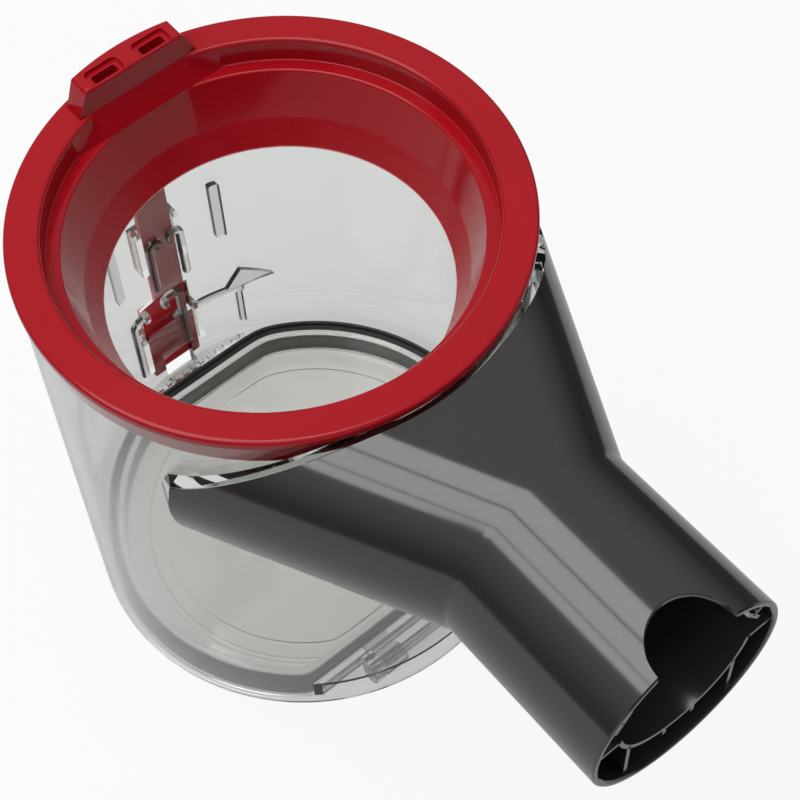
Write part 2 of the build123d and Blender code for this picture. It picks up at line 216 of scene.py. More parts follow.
class Value:
    """A number that changes over a surface. Arithmetic on it adds Math nodes."""

    def __init__(self, finish, socket):
        self.finish = finish
        self.socket = socket

    def math(self, operation, first, second):
        return self.finish.node("ShaderNodeMath", {"operation": operation}, {0: first, 1: second})

    def __add__(self, other):
        return self.math("ADD", self, other)

    def __mul__(self, other):
        return self.math("MULTIPLY", self, other)


class Finish:
    """A material, or the world, whose nodes are added one by one."""

    def __init__(self, owner):
        owner.use_nodes = True
        self.owner = owner
        self.tree = owner.node_tree
        self.tree.nodes.clear()

    def node(self, kind, settings=None, sockets=None, output=0):
        """Adds a node: its settings first, then its sockets' values or links."""
        made = self.tree.nodes.new(kind)
        for key, value in (settings or {}).items():
            setattr(made, key, value)
        for key, value in (sockets or {}).items():
            if isinstance(value, Value):
                self.tree.links.new(value.socket, made.inputs[key])
            else:
                made.inputs[key].default_value = value
        return Value(self, made.outputs[output]) if len(made.outputs) else None

    def place(self):
        """Object coordinates, in metres."""
        return self.node("ShaderNodeTexCoord", output="Object")

    def reach(self):
        """The distance from the bin's axis, in metres."""
        level = {0: self.place(), 1: (1, 1, 0)}
        flat = self.node("ShaderNodeVectorMath", {"operation": "MULTIPLY"}, level)
        return self.node("ShaderNodeVectorMath", {"operation": "LENGTH"}, {0: flat}, output="Value")

    def noise(self, size_mm, detail=2.0, stretch=(1, 1, 1)):
        """A noise from 0 to 1 whose features are about the size given, drawn out along an axis."""
        where = self.node("ShaderNodeMapping", {}, {"Vector": self.place(), "Scale": stretch})
        settings = {"Vector": where, "Scale": 1 / (size_mm * MM), "Detail": detail}
        return self.node("ShaderNodeTexNoise", {}, settings)

    def mix(self, share, first, second):
        """One colour fading into another."""
        colours = {0: share, 6: first, 7: second}
        return self.node("ShaderNodeMix", {"data_type": "RGBA"}, colours, output=2)

    def bump(self, height, distance_mm, strength=1.0):
        sockets = {"Height": height, "Distance": distance_mm * MM, "Strength": strength}
        return self.node("ShaderNodeBump", {}, sockets)

    def show(self, shader, kind="ShaderNodeOutputMaterial"):
        self.node(kind, {}, {"Surface": shader})
        return self.owner


def new_finish(name):
    return Finish(bpy.data.materials.new(name))


def wear(piece, material):
    """Puts a material on a piece, in place of any it has."""
    piece.data.materials.clear()
    piece.data.materials.append(material)


dull_from = 12.0
dull_shade = 0.62
dull_roughness = 0.22


def clear_plastic(name, tint, dull_within=0.0):
    """Clear polished plastic, faintly wavy from the mould; shadows pass through it. What stands
    out from the rear wall, nearer to the axis than a radius in millimetres, is a little dull."""
    finish = new_finish(name)
    waves = finish.noise(14) * 0.7 + finish.noise(3) * 0.05
    reach = finish.reach()
    height = finish.node("ShaderNodeSeparateXYZ", {}, {"Vector": finish.place()}, output="Z")
    near_axis = reach.math("LESS_THAN", reach, dull_within * MM)
    dull = near_axis * height.math("GREATER_THAN", height, dull_from * MM)
    dull_tint = [dull_shade * part for part in tint]
    glass = finish.node("ShaderNodeBsdfPrincipled", {}, {
        "Base Color": finish.mix(dull, (*tint, 1), (*dull_tint, 1)),
        "Roughness": finish.noise(6) * 0.05 + dull * dull_roughness + 0.005,
        "IOR": 1.49,
        "Transmission Weight": 1.0,
        "Normal": finish.bump(waves, 0.02, 0.3),
    })
    passing = finish.node("ShaderNodeBsdfTransparent", {}, {"Color": (*tint, 1)})
    shadow = finish.node("ShaderNodeLightPath", output="Is Shadow Ray")
    return finish.show(finish.node("ShaderNodeMixShader", {}, {0: shadow, 1: glass, 2: passing}))


body_high = box_mm("bin_body")[1]
wall_radius = body_high[0]
wall_height = body_high[2]
wall_thickness = 2.0
wall_inner = wall_radius - wall_thickness
wall_middle = wall_radius - wall_thickness / 2
wall_outline = rounded([
    (wall_radius, 0, 0.5),
    (wall_radius, wall_height, 0.3),
    (wall_inner, wall_height, 0.3),
    (wall_inner, 0, 0.5),
])
wall_step = 8.0
bin_body = turned("clear_bin_body", dense(held(wall_outline), wall_step), 320)

# The inlet's funnel runs straight from a slot with round ends, beside the wall, to a round waist
nozzle_low = box_mm("inlet_nozzle")[0]
mouth_y = nozzle_low[1]
tube_length = 42.0
waist_y = mouth_y + tube_length
mouth_radius = 23.8
waist_radius = 23.5
inlet_z = nozzle_low[2] + mouth_radius
port_y = -20.7
port_half_spacing = 29.7
boss_end = 7.0
boss_wall = 2.0
boss_reach = 1.5
seam_radius = 56.5
seam_power = 2.6
seam_y = seam_radius - wall_radius - boss_reach
flat_turn = math.radians(2)
arc_points, flat_points = 360, 25
half_arc = np.linspace(-1, 1, arc_points, endpoint=False) * math.pi / 2
half_flat = np.linspace(1, -1, flat_points, endpoint=False)
quarter = math.pi / 2
port_angle = np.concatenate([
    half_arc, np.full(flat_points, quarter), half_arc + math.pi, np.full(flat_points, -quarter),
])
port_side = np.concatenate([np.ones(arc_points), half_flat, -np.ones(arc_points), -half_flat])
tube_angle = port_angle - flat_turn * port_side * np.sin(port_angle)
tube_angle[:arc_points] = half_arc * (1 - flat_turn / quarter)
tube_angle[arc_points + flat_points:2 * arc_points + flat_points] = tube_angle[:arc_points] + math.pi


def around(radius, y):
    """The round tube's point at each angle about the inlet's axis."""
    depth = y + 0 * tube_angle
    return np.stack([radius * np.cos(tube_angle), depth, radius * np.sin(tube_angle) + inlet_z], -1)


def at_seam(inset, gap):
    """Where the funnel starts, on the seam that the boss and the nozzle share. Each straight line
    from port to waist crosses the seam's cylinder at a quadratic's root, or else its end plane.
    Adding the two distances as powers rounds the corner between them."""
    radius = waist_radius - inset
    start = np.stack([
        port_half_spacing * port_side + radius * np.cos(port_angle),
        port_y + 0 * port_angle,
        radius * np.sin(port_angle) + inlet_z,
    ], -1)
    run = around(radius, waist_y) - start
    flat = run[:, :2]
    origin = start[:, :2] - (0, seam_y)
    square = (flat**2).sum(-1)
    half = (flat * origin).sum(-1)
    inside = half**2 - square * ((origin**2).sum(-1) - (seam_radius + gap)**2)
    crossing = np.where(inside > 0, (np.sqrt(np.maximum(inside, 0)) - half) / square, 0)
    end_plane = (boss_end + gap) / (port_y - waist_y)
    share = (np.maximum(crossing, 0)**seam_power + end_plane**seam_power)**(1 / seam_power)
    return start + share[:, None] * run


def on_wall(name, outline, inner, outer, step=1.2):
    """An outline in X and Z, as a solid between two radii of the rear wall."""
    outline = dense(np.asarray(outline, float), step)
    x, z = outline[:, 0], outline[:, 1]
    return stack(name, [np.stack([x, np.sqrt(radius**2 - x**2), z], -1) for radius in (inner, outer)])


def bead(name, corners, width, inner, outer, steps=5):
    """A rounded bead along a path in X and Z, narrower at its top than at its root.
    Each outline runs up one side of the path and back down the other."""
    ends = np.array(corners, float)[:, :2]
    path = np.concatenate([ends[:1], rounded(corners, steps)[steps:-steps], ends[-1:]])
    direction = np.gradient(path, axis=0)
    direction /= np.linalg.norm(direction, axis=1, keepdims=True)
    side = np.stack([-direction[:, 1], direction[:, 0]], -1)
    loops = []
    crown = ((inner, 0.45), (inner + 0.25, 0.8), (inner + 0.6, 1.0), (outer, 1.0))
    for radius, share in crown:
        edge = side * width * share / 2
        outline = np.concatenate([path + edge, (path - edge)[::-1]])
        depth = np.sqrt(radius**2 - outline[:, 0]**2)
        loops.append(np.stack([outline[:, 0], depth, outline[:, 1]], -1))
    return stack(name, loops, sharp=50)


def plan_stack(name, outline, levels):
    """A plan outline in X and Y, drawn up between two heights."""
    return stack(name, [np.insert(outline, 2, level, 1) for level in levels])


port_shrink = 0.955


def on_cylinder(points, radius):
    """The points' X drawn in a little, as the boss narrows to the wall, and set on a round wall."""
    x = points[:, 0] * port_shrink
    return np.stack([x, -np.sqrt(radius**2 - x**2), points[:, 2]], -1)


boss_outer, boss_inner = at_seam(0, 0), at_seam(boss_wall, 0)
boss = ring("boss", np.stack([
    on_cylinder(boss_outer, wall_middle),
    boss_outer,
    boss_inner,
    on_cylinder(boss_inner, wall_middle),
]))

slider_low, slider_high = box_mm("catch_slider")
slider_middle = (slider_low[0] + slider_high[0]) / 2
slide_gap = 0.35
window_side_gap = 0.9
window_z = (28.5, 41.0)
hook_half = 4.0
slot_z = (4.85, 15.55)
chord_wall = 1.2
chord_top = 9.4
chord_foot = 3.0
hinge_chord = -40.8
catch_chord = 47.2
through = ((catch_chord + chord_wall + wall_inner) / 2, 2 * wall_radius)
port_window = np.array((30.0, 16.5))
port_turn = 0.01
port_sweep = np.linspace(port_turn, port_turn + 2 * math.pi, 256, endpoint=False)
oval = port_window * np.stack([np.cos(port_sweep), np.sin(port_sweep)], -1) + (0, inlet_z)
window_x = (slider_low[0] - window_side_gap, slider_high[0] - window_side_gap)
combine(bin_body, [
    stack("port_cut", [np.insert(oval, 1, y, 1) for y in (-2 * wall_radius, 0)]),
    block("window_cut", window_x, through, window_z),
], "DIFFERENCE")

# Faces that would lie in one plane are set apart, so that the pieces join cleanly
apart = 0.02
sink_step = 0.13
roof_lap = 0.3
wall_grip = wall_middle - 0.2
additions = [boss]
for label, chord in (("hinge", hinge_chord), ("catch", catch_chord)):
    outward = math.copysign(1, chord)
    back = chord + outward * chord_wall
    half = math.sqrt(wall_middle**2 - chord**2)
    turn = math.acos(half / wall_middle)
    arc = np.linspace(turn, math.pi - turn, 80)
    segment = np.stack([wall_middle * np.cos(arc), outward * wall_middle * np.sin(arc)], -1)
    additions.append(plan_stack(label + "_roof", segment, (chord_top - chord_wall, chord_top)))
    front = chord + outward * apart
    half_front = math.sqrt(wall_grip**2 - front**2)
    half_back = math.sqrt(wall_grip**2 - back**2)
    straight = np.array([
        (-half_front, front), (half_front, front), (half_back, back), (-half_back, back),
    ])
    additions.append(plan_stack(label + "_wall", straight, (chord_foot, chord_top - roof_lap)))

tooth_pitch = 2.6
tooth_width = 1.3
tooth_height = 0.9
tooth_sink = 0.4
tooth_count = 13
for index in range(tooth_count):
    middle = (index - (tooth_count - 1) / 2) * tooth_pitch
    additions.append(block(
        "tooth",
        (middle - tooth_width / 2, middle + tooth_width / 2),
        (catch_chord + apart, catch_chord + chord_wall - apart),
        (chord_top - tooth_sink, chord_top + tooth_height),
    ))

pin_low, pin_high = box_mm("hinge_pin")
hinge_y, hinge_z = (pin_low[1:] + pin_high[1:]) / 2
pin_radius = (pin_high[2] - pin_low[2]) / 2
barrel_radius = 2.6
lug_width = 3.0


def barrel(name, x, radius, bevel=0.2, segments=48):
    """A short round bar along X, on the hinge's axis."""
    angle = np.linspace(0, 2 * math.pi, segments, endpoint=False)
    places = (x[0], x[0] + bevel, x[1] - bevel, x[1])
    loops = []
    for place, size in zip(places, (radius - bevel, radius, radius, radius - bevel)):
        y, z = hinge_y + size * np.cos(angle), hinge_z + size * np.sin(angle)
        loops.append(np.stack([place + 0 * angle, y, z], -1))
    return stack(name, loops)


neck_half = barrel_radius - 0.05
for side in (-1, 1):
    lug_x = sorted((side * pin_high[0], side * (pin_high[0] - lug_width)))
    additions.append(barrel("lug", lug_x, barrel_radius))
    additions.append(block(
        "lug_neck",
        (lug_x[0] + apart / 2, lug_x[1] - apart / 2),
        (hinge_y - neck_half, hinge_y + neck_half),
        (hinge_z - sink_step, chord_top - chord_wall / 2),
    ))

rib_inner = wall_inner - 1.3
rib_outer = wall_inner + 0.5
bead_width = 1.9
bead_bend = 1.2
bead_drop = 2.6
strip_x = (-4.1, 4.7)
# Each bead's place across the wall, its foot, its top, and how far its top bends over
bead_paths = [
    (slider_high[0] - 3.5, 18.0, 39.1, -4.5),
    (slider_low[0] - 4.0, 18.0, 39.1, 4.5),
    (strip_x[1] + 0.5, 45.0, 62.0, -2.8),
    (strip_x[0] + 0.5, 45.0, 62.0, 2.8),
]
for x, bottom, top, over in bead_paths:
    path = [(x, bottom, 0), (x, top, bead_bend)]
    path += [(x + over, top, bead_bend), (x + over, top - bead_drop, 0)]
    additions.append(bead("bead", path, bead_width, rib_inner, rib_outer))

rail_x = 14.9
rail_width = 2.5
rail_z = (53.0, 73.0)
rail_foot, rail_crown = 0.4, 0.8
for side in (-1, 1):
    rail_left = side * rail_x - rail_width / 2
    rail_right = side * rail_x + rail_width / 2
    rail = rounded([
        (rail_left, rail_z[0], rail_foot),
        (rail_right, rail_z[0], rail_foot),
        (rail_right, rail_z[1], rail_crown),
        (rail_left, rail_z[1], rail_crown),
    ])
    additions.append(on_wall("rail", rail, rib_inner, rib_outer))

ledge_start, ledge_end = slider_high[0], 18.0
ledge_low, ledge_high = 29.2, 30.9
flag_root = ledge_end - 4
flag_tip = (ledge_end + 7.5, 33.1)
flag_top = 37.5
leg_left, leg_right = ledge_end - 1.65, ledge_end - 0.35
leg_low, leg_high = 15.5, 30
rear_plates = [
    [
        (ledge_start, ledge_low),
        (ledge_end, ledge_low),
        (ledge_end, ledge_high),
        (ledge_start, ledge_high),
    ],
    [(flag_root, ledge_low + 0.1), flag_tip, (ledge_end, flag_top), (flag_root, ledge_high - 0.1)],
    [(leg_left, leg_low), (leg_right, leg_low), (leg_right, leg_high), (leg_left, leg_high)],
]
for index, outline in enumerate(rear_plates):
    sink = index * sink_step
    additions.append(on_wall("rear_plate", outline, rib_inner + sink, rib_outer + sink))

guide_wall = 1.7
guide_lip = 1.5
guide_root = 1.6
slider_back = slider_high[1]
# The strip's edge that each guide holds, the side its lip reaches to, and its heights
guides = [
    (slider_low[0], 1, (13.0, 26.0)),
    (slider_high[0], -1, (13.0, 26.0)),
    (strip_x[0], 1, (50.0, 65.0)),
    (strip_x[1], -1, (50.0, 65.0)),
]
for edge, side, heights in guides:
    near = edge - side * slide_gap
    far = near - side * guide_wall
    lip = edge + side * guide_lip
    back = slider_back + slide_gap
    root = math.sqrt(wall_radius**2 - max(abs(near), abs(far))**2) - wall_thickness / 2
    outer = back + guide_root
    outline = np.array([
        (near, root), (near, back), (lip, back), (lip, outer), (far, outer), (far, root),
    ])
    additions.append(plan_stack("guide", outline, heights))
combine(bin_body, additions, "UNION")
slot_x = (slider_middle - hook_half - slide_gap, slider_middle + hook_half + slide_gap)
combine(bin_body, [
    barrel("pin_cut", (pin_low[0] - 1, pin_high[0] + 1), pin_radius),
    block("slot_cut", slot_x, through, slot_z),
], "DIFFERENCE")

shade_even(bin_body)
wear(bin_body, clear_plastic("clear_wall_plastic", (0.78, 0.79, 0.775), wall_inner - 0.1))
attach(bin_body, "bin")
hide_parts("bin_body")


# The base flap. A clear moulded lid with a stepped floor and an upright rim that carries the seal,
# two hinge barrels on one side and a springy hook on the other. It swings down on the hinge pin.
seal_low, seal_high = box_mm("flap_seal")
seal_reach = seal_high[0]
seal_hinge = -seal_low[1]
seal_catch = seal_high[1]
base_angle = np.linspace(0, 2 * math.pi, 720, endpoint=False)
corner_power = 70


def base_loop(inset, hinge_inset, catch_inset, height):
    """The flap's outline moved in from the seal's outer face: a circle with two straight sides.
    The nearest of the three limits counts at each angle, and a high power rounds where they meet."""
    sine = np.sin(base_angle)
    toward_hinge = np.maximum(-sine, 1e-6) / (seal_hinge - hinge_inset)
    toward_catch = np.maximum(sine, 1e-6) / (seal_catch - catch_inset)
    toward_wall = 1 / (seal_reach - inset)
    limits = (toward_hinge, toward_catch, toward_wall)
    largest = np.maximum(np.maximum(toward_hinge, toward_catch), toward_wall)
    blend = sum((limit / largest)**corner_power for limit in limits)
    reach = 1 / (largest * blend**(1 / corner_power))
    return np.stack([reach * np.cos(base_angle), reach * sine, height + 0 * base_angle], -1)


flap_low, flap_high = box_mm("base_flap")
flap_floor = flap_low[2]
flange_top = flap_floor + 1.2
plate_top = flap_floor + 1.6
flap_rim = flap_high[2]
step_height = 0.85
flange_inset = 0.35
rim_outer, rim_inner = 2.45, 4.25
ring_inset = 8.35
recess_inset = ring_inset + 1.6
panel_inset = 13.25
panel_end = panel_inset + 2
flap_profile = [
    (recess_inset, flap_floor + step_height, 0.1),
    (recess_inset, flap_floor, 0.3),
    (flange_inset, flap_floor, 0.3),
    (flange_inset, flange_top, 0.3),
    (rim_outer, flange_top, 0.1),
    (rim_outer, flap_rim, 0.5),
    (rim_inner, flap_rim, 0.5),
    (rim_inner, plate_top, 0.4),
    (ring_inset, plate_top, 0.3),
    (ring_inset, plate_top + step_height, 0.3),
    (panel_inset, plate_top + step_height, 0.3),
    (panel_inset, plate_top + 2 * step_height, 0.3),
    (panel_end, plate_top + 2 * step_height, 0.05),
    (panel_end, flap_floor + step_height, 0.05),
]
flap_outline = held(rounded(flap_profile))
panel_middle = np.argmax(flap_outline[:, 0] > panel_inset + 1)
flap_outline = np.concatenate([flap_outline[-1:], flap_outline[:panel_middle]])
# The steps lie closer together along the straight sides than round the rest of the flap
insets = flap_outline[:, 0]
hinge_steps = (rim_inner, 5.85, 7.45, 9.45)
hinge_insets = np.interp(insets, (rim_inner, ring_inset, panel_inset, panel_end), hinge_steps)
catch_insets = np.interp(insets, (ring_inset, panel_inset), (ring_inset, 9.25))
hinge_insets = np.where(insets < rim_inner, insets, hinge_insets)
catch_insets = np.where(insets < ring_inset, insets, catch_insets)
base_flap = stack("clear_base_flap", [
    base_loop(inset, hinge, catch, height)
    for (inset, height), hinge, catch in zip(flap_outline, hinge_insets, catch_insets)
])
flap_parts = []
lug_gap = 0.35
barrel_width = 6.6
flange_hold = 3.0
flange_z = (flap_floor + apart, flange_top - apart)
for side in (-1, 1):
    outer = pin_high[0] - lug_width - lug_gap
    arm_x = sorted((side * outer, side * (outer - barrel_width)))
    flap_parts.append(barrel("flap_barrel", arm_x, barrel_radius))
    flap_parts.append(block(
        "flap_arm",
        (arm_x[0] + apart / 2, arm_x[1] - apart / 2),
        (hinge_y, -seal_hinge + flange_hold),
        flange_z,
    ))
hook_x = (slider_middle - hook_half, slider_middle + hook_half)
hook_y = catch_chord + chord_wall + 0.5
hook_back = hook_y + 1.1
barb_reach = 1.7
barb_bottom = 5.2
barb_top = 7.0
hook_top = 7.5
hook_section = np.array([
    (seal_catch - flange_hold, flange_z[0]),
    (hook_back, flange_z[0]),
    (hook_back, barb_bottom),
    (hook_back + barb_reach, barb_bottom),
    (hook_back, barb_top),
    (hook_back - 0.2, hook_top),
    (hook_y, hook_top),
    (hook_y, flange_z[1]),
    (seal_catch - flange_hold, flange_z[1]),
])
flap_parts.append(stack("flap_hook", [np.insert(hook_section, 0, x, 1) for x in hook_x]))
combine(base_flap, flap_parts, "UNION")
pin_clearance = 0.05
bore = barrel("bore_cut", (pin_low[0], pin_high[0]), pin_radius + pin_clearance, 0.01)
combine(base_flap, [bore], "DIFFERENCE")
shade_even(base_flap)
wear(base_flap, clear_plastic("clear_flap_plastic", (0.68, 0.68, 0.65)))
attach(base_flap, "flap")
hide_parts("base_flap")


# The flap's seal. A black moulded rubber band round the flap's rim, relieved below, with a lip
# that meets the wall. It stretches over the rim and sits on the flange.
seal_bottom, seal_top = seal_low[2], seal_high[2]
seal_lip = 0.8
seal_inner = 2.4
lip_bottom = seal_top - 2.5
seat_z = seal_top - 1.3
seal_outline = held(rounded([
    (seal_lip, seal_bottom, 0.2),
    (seal_lip, lip_bottom, 0.25),
    (0, lip_bottom, 0.3),
    (0, seal_top, 0.35),
    (seal_lip, seal_top, 0.3),
    (seal_lip + 0.1, seat_z, 0.3),
    (seal_inner, seat_z, 0.2),
    (seal_inner, seal_bottom, 0.2),
]))
flap_seal = ring("black_flap_seal", np.stack([
    base_loop(inset, inset, inset, height) for inset, height in seal_outline
]))
rubber = new_finish("black_seal_rubber")
rubber_grain = rubber.noise(0.6, 3)
wear(flap_seal, rubber.show(rubber.node("ShaderNodeBsdfPrincipled", {}, {
    "Base Color": rubber.mix(rubber.noise(9), (0.012, 0.012, 0.012, 1), (0.022, 0.022, 0.021, 1)),
    "Roughness": rubber_grain * 0.15 + 0.38,
    "Normal": rubber.bump(rubber_grain, 0.02, 0.4),
})))
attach(flap_seal, "flap")
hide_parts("flap_seal")


# The hinge pin. A short length of drawn steel wire with bevelled ends, pressed through the
# body's two lugs and the flap's barrels.
hinge_pin = barrel("steel_hinge_pin", (pin_low[0], pin_high[0]), pin_radius, 0.3)
steel = new_finish("drawn_steel")
drawn = steel.noise(0.25, 2, (0.02, 1, 1))
wear(hinge_pin, steel.show(steel.node("ShaderNodeBsdfPrincipled", {}, {
    "Base Color": steel.mix(drawn, (0.36, 0.35, 0.35, 1), (0.52, 0.51, 0.5, 1)),
    "Roughness": drawn * 0.15 + 0.2,
    "Metallic": 1.0,
    "Normal": steel.bump(drawn, 0.01, 0.3),
})))
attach(hinge_pin, "bin")
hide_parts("hinge_pin")


# The catch slider. A red moulded strip behind the rear wall, held by the wall's guides. It is
# pushed down from the top, and its nose then frees the flap's hook.
shoulder_z = 37.0
strip_edge = 0.6
slider_outline = rounded([
    (slider_low[0], slider_low[2], strip_edge),
    (slider_high[0], slider_low[2], strip_edge),
    (slider_high[0], shoulder_z, strip_edge),
    (strip_x[1], shoulder_z, 0.3),
    (strip_x[1], slider_high[2], strip_edge),
    (strip_x[0], slider_high[2], strip_edge),
    (strip_x[0], shoulder_z, 0.3),
    (slider_low[0], shoulder_z, strip_edge),
])
slider_front = wall_radius + slide_gap
catch_slider = stack("red_catch_slider", [
    np.insert(slider_outline, 1, y, 1) for y in (slider_front, slider_back)
])
nose_low, nose_high = 11.2, 15.2
nose_root = slider_front + 0.3
nose = np.array([(nose_root, nose_low), (nose_root, nose_high), (slider_low[1], nose_high)])
join(catch_slider, [stack("nose", [np.insert(nose, 0, x, 1) for x in hook_x])])
soften(catch_slider, 0.2)


def red_gloss(name, deep, bright, roughness, highlight_within=0.0):
    """Glossy red moulded plastic: the colour drifts a little, and fine scuffs dull the gloss. Nearer
    to the axis than a radius in millimetres, a pale pink is painted on as a highlight along the thin
    edge."""
    finish = new_finish(name)
    drift = finish.noise(22, 3)
    scuffs = finish.noise(0.7, 4, (1, 0.25, 1))
    reach = finish.reach()
    # Painted highlight: within this radius the red turns pale pink, in place of the gloss on the
    # throat's thin edge.
    thin = reach.math("LESS_THAN", reach, highlight_within * MM)
    red = finish.mix(drift, (*deep, 1), (*bright, 1))
    return finish.show(finish.node("ShaderNodeBsdfPrincipled", {}, {
        "Base Color": finish.mix(thin, red, (0.72, 0.3, 0.28, 1)),
        "Roughness": scuffs * 0.06 + roughness,
        "IOR": 1.33,
        "Normal": finish.bump(finish.noise(1.4, 2) * 0.6 + drift, 0.02, 0.12),
    }))


# The slider's reds are painted brighter than the collar's. This painted light makes up for the shade
# the slider stands in, behind the rear wall and under the collar.
slider_reds_painted_brighter = (0.52, 0.010, 0.018), (0.58, 0.013, 0.022)
wear(catch_slider, red_gloss("red_slider_plastic_painted_brighter", *slider_reds_painted_brighter, 0.22))
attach(catch_slider, "slider")
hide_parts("catch_slider")


# The collar. A glossy red moulding welded to the top of the clear wall: a flat rim, a stepped seat
# and a cone inside it, a flat at the rear, and the tab with its two slots that stands there.
collar_low, collar_high = box_mm("collar")
rim_radius = collar_high[0]
tab_top = collar_high[2]
rim_thickness = 2.2
seat_depth = 6.1
cone_run = 3.2
cone_wall = 1.7
skirt_gap = 0.2
skirt_wall = 2.2
skirt_drop = 1.6
flat_depth = 1.2
collar_top = wall_height + rim_thickness
seat_radius = wall_inner - 4.6
seat_floor = collar_top - seat_depth
ledge_radius = seat_radius - 3.1
crease_z = collar_low[2]
crease_radius = ledge_radius - cone_run
skirt_radius = wall_inner - skirt_gap
skirt_top = seat_floor - cone_wall
skirt_bottom = skirt_top - skirt_drop
flat_front = seat_radius - flat_depth
flat_low = ledge_radius - flat_depth
collar_outline = held(rounded([
    (rim_radius, wall_height, 0.2),
    (rim_radius, collar_top, 0.9),
    (seat_radius, collar_top, 0.9),
    (seat_radius, seat_floor, 0.35),
    (ledge_radius, seat_floor, 0.6),
    (crease_radius, crease_z, 0.05),
    (crease_radius + cone_wall, crease_z, 0.05),
    (ledge_radius + cone_wall, skirt_top, 0.4),
    (skirt_radius - skirt_wall, skirt_top, 0.3),
    (skirt_radius - skirt_wall, skirt_bottom, 0.2),
    (skirt_radius, skirt_bottom, 0.3),
    (skirt_radius, wall_height, 0.05),
], 7))
seat_side = np.arange(len(collar_outline)) <= np.argmin(collar_outline[:, 1])
ring_angle = np.linspace(0, 2 * math.pi, 768, endpoint=False)[:, None]
ring_radius = collar_outline[:, 0] + 0 * ring_angle
ring_height = collar_outline[:, 1] + 0 * ring_angle
# Inside the rim, no point goes further back than the flat, which leans out towards the top
flat_y = np.interp(ring_height, (seat_floor, collar_top), (flat_low, flat_front))
to_flat = flat_y / np.maximum(np.sin(ring_angle), 1e-6)
inner_side = seat_side & (collar_outline[:, 0] < seat_radius + 1)
ring_radius = np.where(inner_side, np.minimum(ring_radius, to_flat), ring_radius)
collar = ring("red_collar", np.stack([
    ring_radius * np.cos(ring_angle), ring_radius * np.sin(ring_angle), ring_height,
], -1))

tab_half_base, tab_half_top = 15.1, 12.1
tab_back = rim_radius - 1.7
tab_points = 24


def tab_loop(half, front, back, height):
    """The tab's plan at one height: a straight front, straight sides and a round back."""
    turn = math.asin(half / back)
    arc = np.linspace(turn, -turn, tab_points)
    rear = np.stack([back * np.sin(arc), back * np.cos(arc)], -1)
    front_edge = np.stack([np.linspace(-half, half, tab_points), np.full(tab_points, front)], -1)
    return np.insert(np.concatenate([front_edge, rear]), 2, height, 1)


tab_edge = 0.7
edge_hold = 0.15
edge_turn = np.linspace(0, math.pi / 2, 6)
edge_heights = tab_top - tab_edge + tab_edge * np.sin(edge_turn)
edge_insets = tab_edge - tab_edge * np.cos(edge_turn)
edge_heights = np.concatenate([edge_heights[:1] - edge_hold, edge_heights, edge_heights[-1:]])
edge_insets = np.concatenate([edge_insets[:1], edge_insets, edge_insets[-1:] + edge_hold])
tab_heights = np.concatenate([[wall_height + 0.4, collar_top], edge_heights])
tab_insets = np.concatenate([[0, 0], edge_insets])
tab_halves = np.interp(tab_heights, (collar_top, tab_top), (tab_half_base, tab_half_top))
tab = stack("red_tab", [
    tab_loop(half - inset, flat_front + inset, tab_back - inset, height)
    for half, inset, height in zip(tab_halves, tab_insets, tab_heights)
])
slot_half_spacing = 6.0
slot_y = flat_front + 2.4
# Each slot's shallow tray is cut first, and then the slot itself: length, width, depth, corner
for length, width, depth, corner in ((8.2, 4.4, 0.9, 1.1), (6.0, 2.2, 4.6, 0.6)):
    slots = []
    for x in (-slot_half_spacing, slot_half_spacing):
        slot = rounded([
            (x - length / 2, slot_y - width / 2, corner),
            (x + length / 2, slot_y - width / 2, corner),
            (x + length / 2, slot_y + width / 2, corner),
            (x - length / 2, slot_y + width / 2, corner),
        ])
        slots.append(plan_stack("tab_slot", slot, (tab_top - depth, tab_top + 1)))
    combine(tab, slots, "DIFFERENCE")
soften(tab, 0.25)
settle(tab)
join(collar, [tab])
collar_reds = (0.31, 0.003, 0.008), (0.37, 0.005, 0.011)
wear(collar, red_gloss("glossy_red_plastic", *collar_reds, 0.1))
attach(collar, "bin")
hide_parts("collar")


# The wiper lip. A soft red silicone ring moulded on to the cone's lower edge, which carries on
# its slope to a thin edge round the throat.
lip_low, lip_high = box_mm("wiper_lip")
lip_wall = 0.7
throat_radius = crease_radius - cone_run
wiper_outline = held(rounded([
    (crease_radius, lip_high[2], 0.05),
    (throat_radius, lip_low[2], 0.25),
    (throat_radius + lip_wall, lip_low[2], 0.25),
    (crease_radius + cone_wall, lip_high[2], 0.05),
]))
wiper_lip = turned("red_wiper_lip", wiper_outline, 384)
lip_reds = (0.30, 0.004, 0.009), (0.35, 0.006, 0.012)
# The pale pink painted highlight round the throat's edge reaches this far from the axis.
highlight_edge = throat_radius + 0.2
wear(wiper_lip, red_gloss("red_lip_silicone_painted_highlight", *lip_reds, 0.24, highlight_edge))
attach(wiper_lip, "bin")
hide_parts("wiper_lip")


# The inlet nozzle. A dark grey moulding with a metallic paint: an oval funnel that narrows to a
# round tube, with a thumb notch in its mouth, and a ribbed duct inside that takes the wand.
nozzle_wall = 1.5
notch_radius = 9.6
waist_blend = 0.8
boss_gap = 0.1


def mouth_end(radius):
    """Where the tube ends at each angle: at the mouth, or further back where the notch is."""
    x = radius * np.cos(tube_angle)
    back = np.sqrt(np.maximum(notch_radius**2 - x**2, 0))
    return mouth_y + np.where(np.sin(tube_angle) > 0, back, 0)


